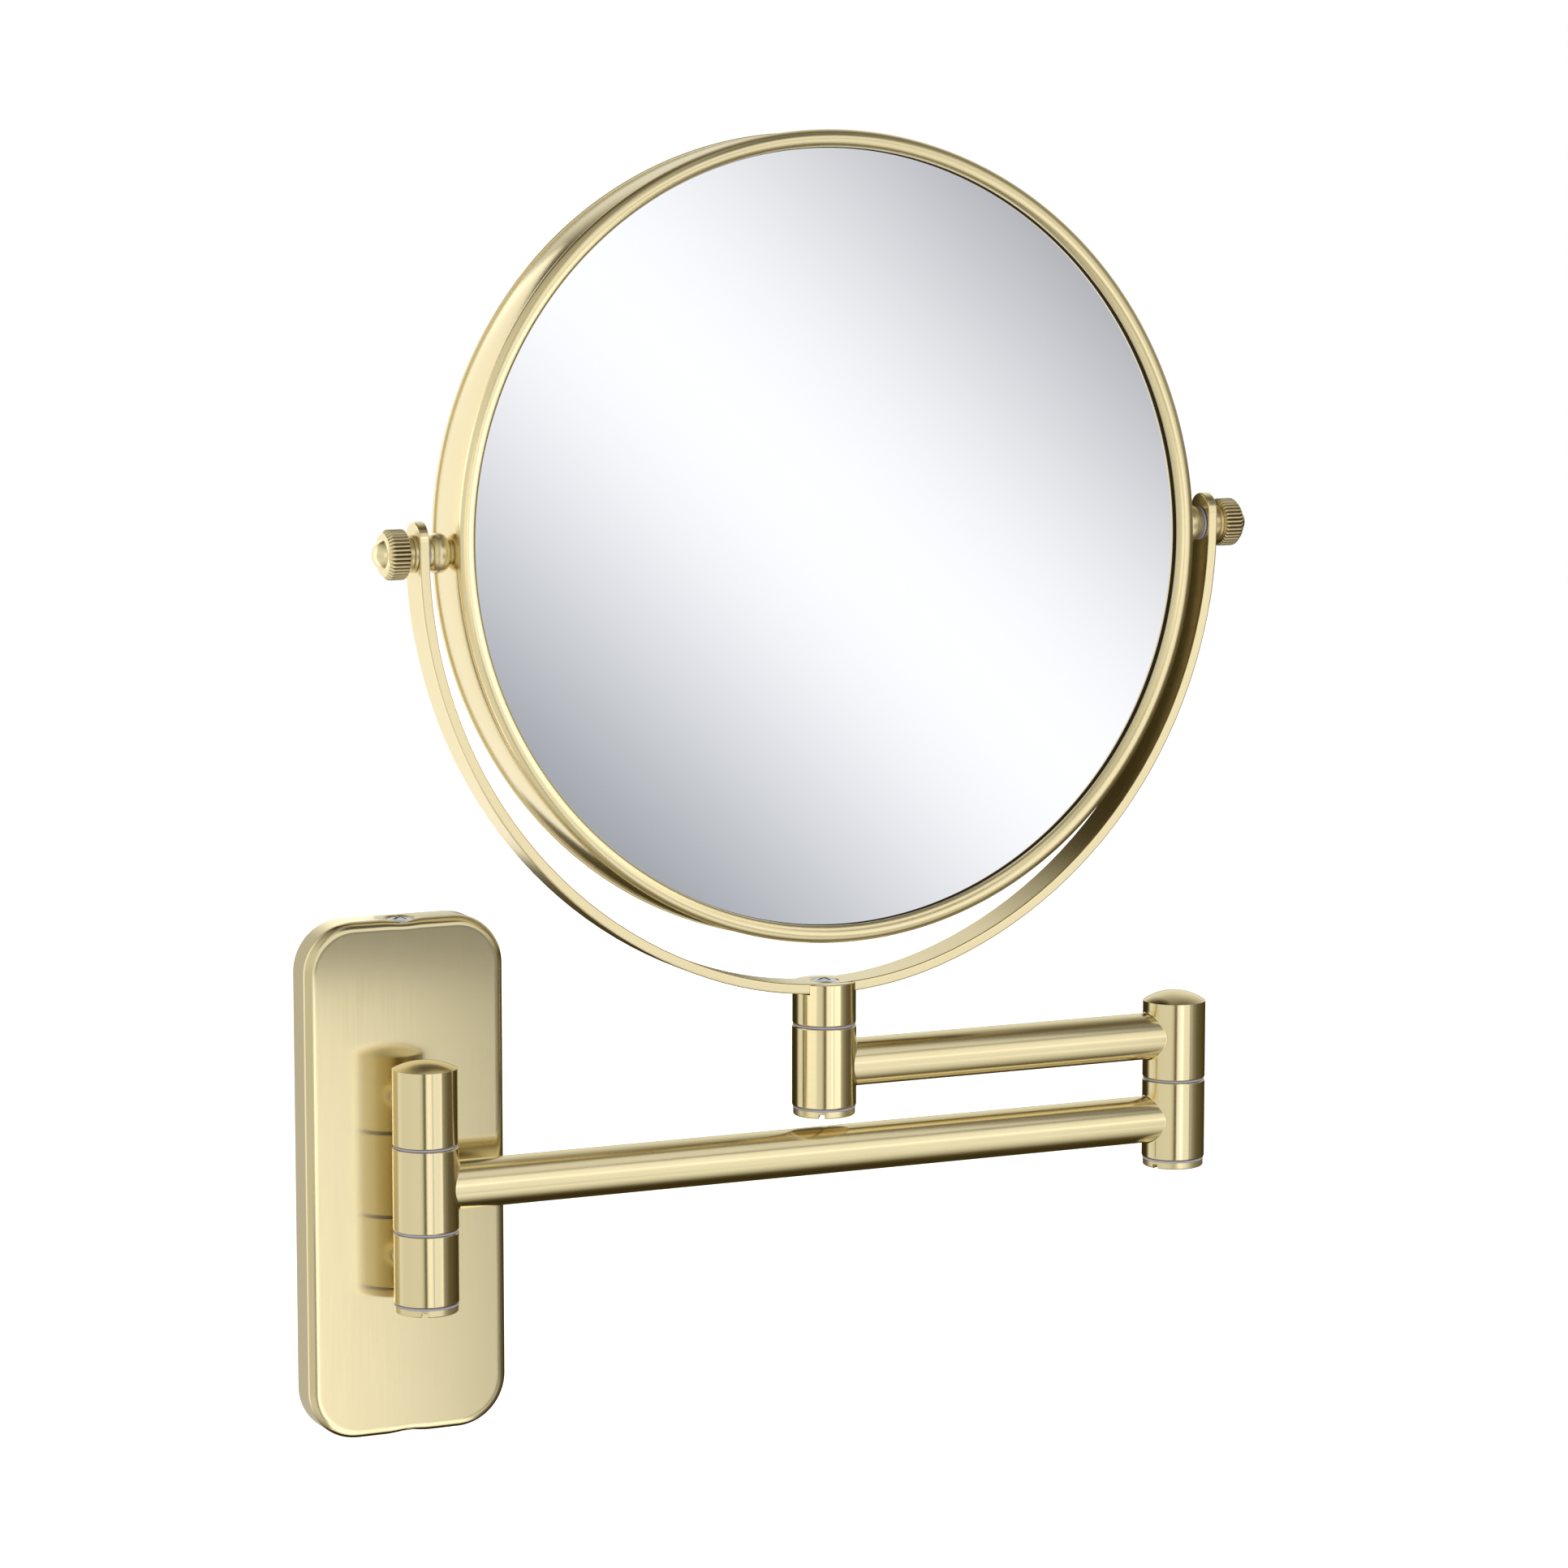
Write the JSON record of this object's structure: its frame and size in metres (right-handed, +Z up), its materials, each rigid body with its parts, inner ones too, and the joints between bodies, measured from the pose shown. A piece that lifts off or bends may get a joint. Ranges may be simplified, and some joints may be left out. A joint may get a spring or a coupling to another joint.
{
  "type": "wall-mounted magnifying makeup mirror",
  "caption": "Round two-sided makeup mirror in a bent yoke on a folding double swing arm, fixed to the wall by a rounded rectangular plate.",
  "frame": {"origin": "middle of the wall plate's back, on the wall", "axes": "+Y into the wall, +Z up, +X along the folded arms"},
  "size_m": [0.2556, 0.036, 0.3234],
  "materials": {
    "gold": "brushed champagne gold plating",
    "polished_gold": "polished champagne gold plating",
    "chrome": "polished chrome plating",
    "steel": "zinc plated",
    "grey_plastic": "plain moulded",
    "dark_plastic": "plain moulded",
    "mirror_glass": "silvered glass"
  },
  "bodies": {
    "wall_mount": {"wall_bracket": "steel", "wall_plate": "gold", "plate_screws": "chrome", "upper_wall_knuckle": "gold", "lower_wall_knuckle": "gold", "knuckle_screws": "steel", "wall_hinge_pin": "steel", "wall_post_washers": "grey_plastic", "wall_post_end_screw": "polished_gold"},
    "lower_arm": {"lower_arm_wall_knuckle": "gold", "lower_arm_tube": "gold", "lower_arm_elbow_knuckle": "gold"},
    "upper_arm": {"upper_arm_elbow_knuckle": "gold", "upper_arm_tube": "gold", "upper_arm_mirror_knuckle": "gold", "elbow_pin": "steel", "elbow_washers": "grey_plastic", "elbow_end_screw": "polished_gold"},
    "yoke_set": {"yoke_stem": "gold", "yoke": "gold", "yoke_screw": "chrome", "mirror_post_washers": "grey_plastic", "mirror_post_end_screw": "polished_gold", "pivot_washers": "grey_plastic", "knob_washers": "polished_gold"},
    "mirror_head": {"frame_band": "gold", "front_bezel": "gold", "back_bezel": "gold", "plain_mirror": "mirror_glass", "magnifying_mirror": "mirror_glass", "mirror_spacer": "dark_plastic", "left_pivot_boss": "polished_gold", "right_pivot_boss": "polished_gold", "boss_nuts": "steel"},
    "left_clamp": {"left_knob": "polished_gold"},
    "right_clamp": {"right_knob": "polished_gold"}
  },
  "joints": [
    {"name": "wall_swing", "type": "hinge", "parent": "wall_mount", "child": "lower_arm", "pos_m": [0, -0.0214, 0], "axis": [0, 0, -1], "range_deg": [0, 180]},
    {"name": "elbow_swing", "type": "hinge", "parent": "lower_arm", "child": "upper_arm", "pos_m": [0.2104, -0.0214, 0], "axis": [0, 0, 1], "continuous": true},
    {"name": "head_swivel", "type": "hinge", "parent": "upper_arm", "child": "yoke_set", "pos_m": [0.1086, -0.0214, 0.03312], "axis": [0, 0, 1], "continuous": true},
    {"name": "mirror_tilt", "type": "hinge", "parent": "yoke_set", "child": "mirror_head", "pos_m": [0.1086, -0.0214, 0.15652], "axis": [1, 0, 0], "continuous": true},
    {"name": "left_knob_turn", "type": "hinge", "parent": "mirror_head", "child": "left_clamp", "pos_m": [-0.004, -0.0214, 0.15652], "axis": [-1, 0, 0], "range_deg": [0, 360]},
    {"name": "right_knob_turn", "type": "hinge", "parent": "mirror_head", "child": "right_clamp", "pos_m": [0.2212, -0.0214, 0.15652], "axis": [1, 0, 0], "range_deg": [0, 360]}
  ]
}
